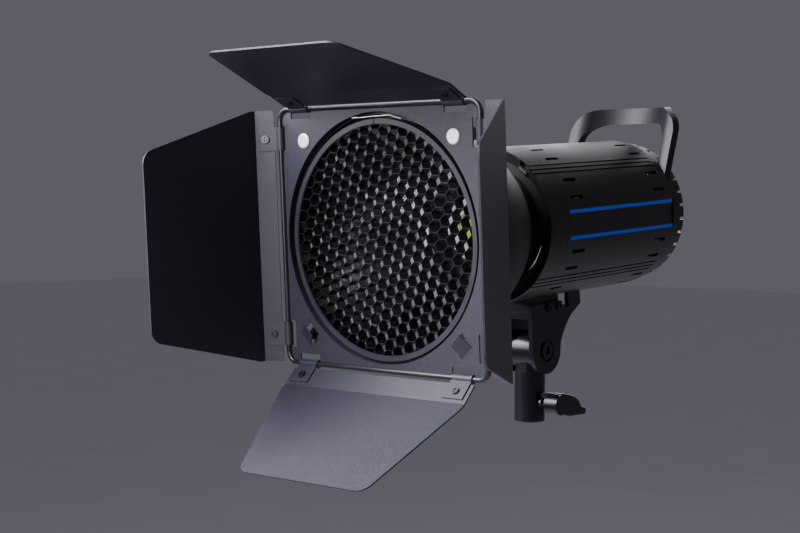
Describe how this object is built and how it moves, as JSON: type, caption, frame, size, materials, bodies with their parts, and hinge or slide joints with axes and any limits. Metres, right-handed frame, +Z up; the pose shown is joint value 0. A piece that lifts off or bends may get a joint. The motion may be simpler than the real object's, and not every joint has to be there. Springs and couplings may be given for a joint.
{
  "type": "studio spotlight",
  "caption": "LED studio spotlight with dish reflector, honeycomb grid, folding barn doors, rear handle and a tilting stand receiver.",
  "frame": {"origin": "centre of the mouth of the receiver's spigot bore", "axes": "+Z up along the bore axis, the light faces -Y and is tilted 3.4 degrees nose-down, +X to the right seen from the front"},
  "size_m": [0.2897, 0.4802, 0.2981],
  "materials": {
    "black_powder_coat": "fine sandy powder coat",
    "black_satin": "satin black paint on metal",
    "black_plastic": "fine-grained moulded black plastic",
    "gloss_black": "glossy black moulding",
    "blue_trim": "blue gloss trim",
    "grey_ring": "satin grey black",
    "honeycomb": "black anodised foil",
    "mirror_dish": "bright dimpled inside, black outside",
    "steel": "zinc-plated",
    "bright_steel": "bright nickel",
    "aluminium": "machined",
    "black_anodised": "black anodised",
    "pcb": "solder mask",
    "phosphor": "yellow phosphor under silicone",
    "display": "dark window",
    "white_plastic": "white heat-proof plastic"
  },
  "bodies": {
    "receiver": {"receiver": "black_satin", "pivot_bolt": "black_satin", "friction_washers": "steel"},
    "lamp_head": {"yoke_bracket": "black_satin", "saddle_block": "black_plastic", "bracket_screws": "black_satin", "front_ring": "black_plastic", "housing_shell": "black_plastic", "side_panel_right": "black_plastic", "side_panel_left": "black_plastic", "blue_strips_right": "blue_trim", "blue_strips_left": "blue_trim", "rear_cap": "black_plastic", "control_panel": "black_plastic", "display_window": "display", "switch_frame": "black_plastic", "power_inlet": "black_plastic", "control_board": "pcb", "driver_board": "pcb", "fan_frame": "black_plastic", "heat_sink": "aluminium", "led_pedestal": "aluminium", "led_board": "aluminium", "led_phosphor": "phosphor", "led_holder": "white_plastic", "led_holder_screws": "steel", "handle": "black_plastic", "handle_screws": "black_satin"},
    "fan_rotor": {"fan_rotor": "black_plastic"},
    "dimmer_knob": {"dimmer_knob": "gloss_black"},
    "power_rocker": {"power_rocker": "gloss_black"},
    "lock_slider": {"lock_slider": "black_plastic"},
    "tilt_lock_lever": {"tilt_lock_lever": "gloss_black"},
    "wing_lever": {"lock_screw": "steel", "wing_lever": "gloss_black"},
    "reflector": {"reflector_dish": "mirror_dish", "bayonet_ring": "black_anodised", "reflector_rivets": "black_satin"},
    "grid": {"grid_ring": "grey_ring", "honeycomb_core": "honeycomb", "grid_spring": "steel"},
    "barn_door_frame": {"barn_door_plate": "black_powder_coat", "hinge_rod": "black_satin", "gel_magnets": "bright_steel", "clamp_collar": "black_powder_coat"},
    "clamp_screw_upper": {"clamp_screw_upper": "gloss_black"},
    "clamp_screw_lower": {"clamp_screw_lower": "gloss_black"},
    "leaf_right": {"leaf_right": "black_powder_coat", "hinge_clips_right": "black_powder_coat", "clip_screws_right": "black_satin"},
    "leaf_top": {"leaf_top": "black_powder_coat", "hinge_clips_top": "black_powder_coat", "clip_screws_top": "black_satin"},
    "leaf_left": {"leaf_left": "black_powder_coat", "hinge_clips_left": "black_powder_coat", "clip_screws_left": "black_satin"},
    "leaf_bottom": {"leaf_bottom": "black_powder_coat", "hinge_clips_bottom": "black_powder_coat", "clip_screws_bottom": "black_satin"}
  },
  "joints": [
    {"name": "head_tilt", "type": "hinge", "parent": "receiver", "child": "lamp_head", "pos_m": [0, 0, 0.0592], "axis": [1, 0, 0], "range_deg": [-60, 80]},
    {"name": "tilt_lock_turn", "type": "hinge", "parent": "receiver", "child": "tilt_lock_lever", "pos_m": [-0.02, 0, 0.0592], "axis": [1, 0, 0], "range_deg": [-40, 60]},
    {"name": "wing_lever_turn", "type": "hinge", "parent": "receiver", "child": "wing_lever", "pos_m": [0.02, 0, 0.0157], "axis": [1, 0, 0], "range_deg": [-180, 180]},
    {"name": "fan_spin", "type": "hinge", "parent": "lamp_head", "child": "fan_rotor", "pos_m": [0, 0.0494, 0.16692], "axis": [0, 0.9982, 0.0593], "continuous": true},
    {"name": "dimmer_turn", "type": "hinge", "parent": "lamp_head", "child": "dimmer_knob", "pos_m": [-0.017, 0.14905, 0.15882], "axis": [0, 0.9982, 0.0593], "range_deg": [-150, 150]},
    {"name": "power_rock", "type": "hinge", "parent": "lamp_head", "child": "power_rocker", "pos_m": [0.012, 0.14092, 0.15232], "axis": [1, 0, 0], "range_deg": [-20, 0]},
    {"name": "lock_slide", "type": "slide", "parent": "lamp_head", "child": "lock_slider", "axis": [0.6157, -0.0467, 0.7866], "range_m": [0, 0.0025], "stiffness_N_per_m": 300},
    {"name": "bayonet_turn", "type": "hinge", "parent": "lamp_head", "child": "reflector", "pos_m": [0, -0.07638, 0.15945], "axis": [0, 0.9982, 0.0593], "range_deg": [-40, 0]},
    {"name": "grid_pull", "type": "slide", "parent": "reflector", "child": "grid", "axis": [0, 0.9982, 0.0593], "range_m": [-0.03, 0]},
    {"name": "frame_turn", "type": "hinge", "parent": "reflector", "child": "barn_door_frame", "pos_m": [0, -0.18619, 0.15292], "axis": [0, 0.9982, 0.0593], "continuous": true},
    {"name": "clamp_upper_turn", "type": "hinge", "parent": "barn_door_frame", "child": "clamp_screw_upper", "pos_m": [0.07071, -0.1784, 0.22422], "axis": [0.7071, -0.0419, 0.7059], "range_deg": [-180, 180]},
    {"name": "clamp_lower_turn", "type": "hinge", "parent": "barn_door_frame", "child": "clamp_screw_lower", "pos_m": [-0.07071, -0.17001, 0.08305], "axis": [-0.7071, 0.0419, -0.7059], "range_deg": [-180, 180]},
    {"name": "leaf_right_fold", "type": "hinge", "parent": "barn_door_frame", "child": "leaf_right", "pos_m": [0.097, -0.18619, 0.15292], "axis": [0, 0.0593, -0.9982], "range_deg": [-88.5, 87.5]},
    {"name": "leaf_top_fold", "type": "hinge", "parent": "barn_door_frame", "child": "leaf_top", "pos_m": [0, -0.19194, 0.24975], "axis": [1, 0, 0], "range_deg": [-148.4, 23.6]},
    {"name": "leaf_left_fold", "type": "hinge", "parent": "barn_door_frame", "child": "leaf_left", "pos_m": [-0.097, -0.18619, 0.15292], "axis": [0, -0.0593, 0.9982], "range_deg": [-115, 61]},
    {"name": "leaf_bottom_fold", "type": "hinge", "parent": "barn_door_frame", "child": "leaf_bottom", "pos_m": [0, -0.18043, 0.05609], "axis": [-1, 0, 0], "range_deg": [-134.5, 37.5]}
  ]
}
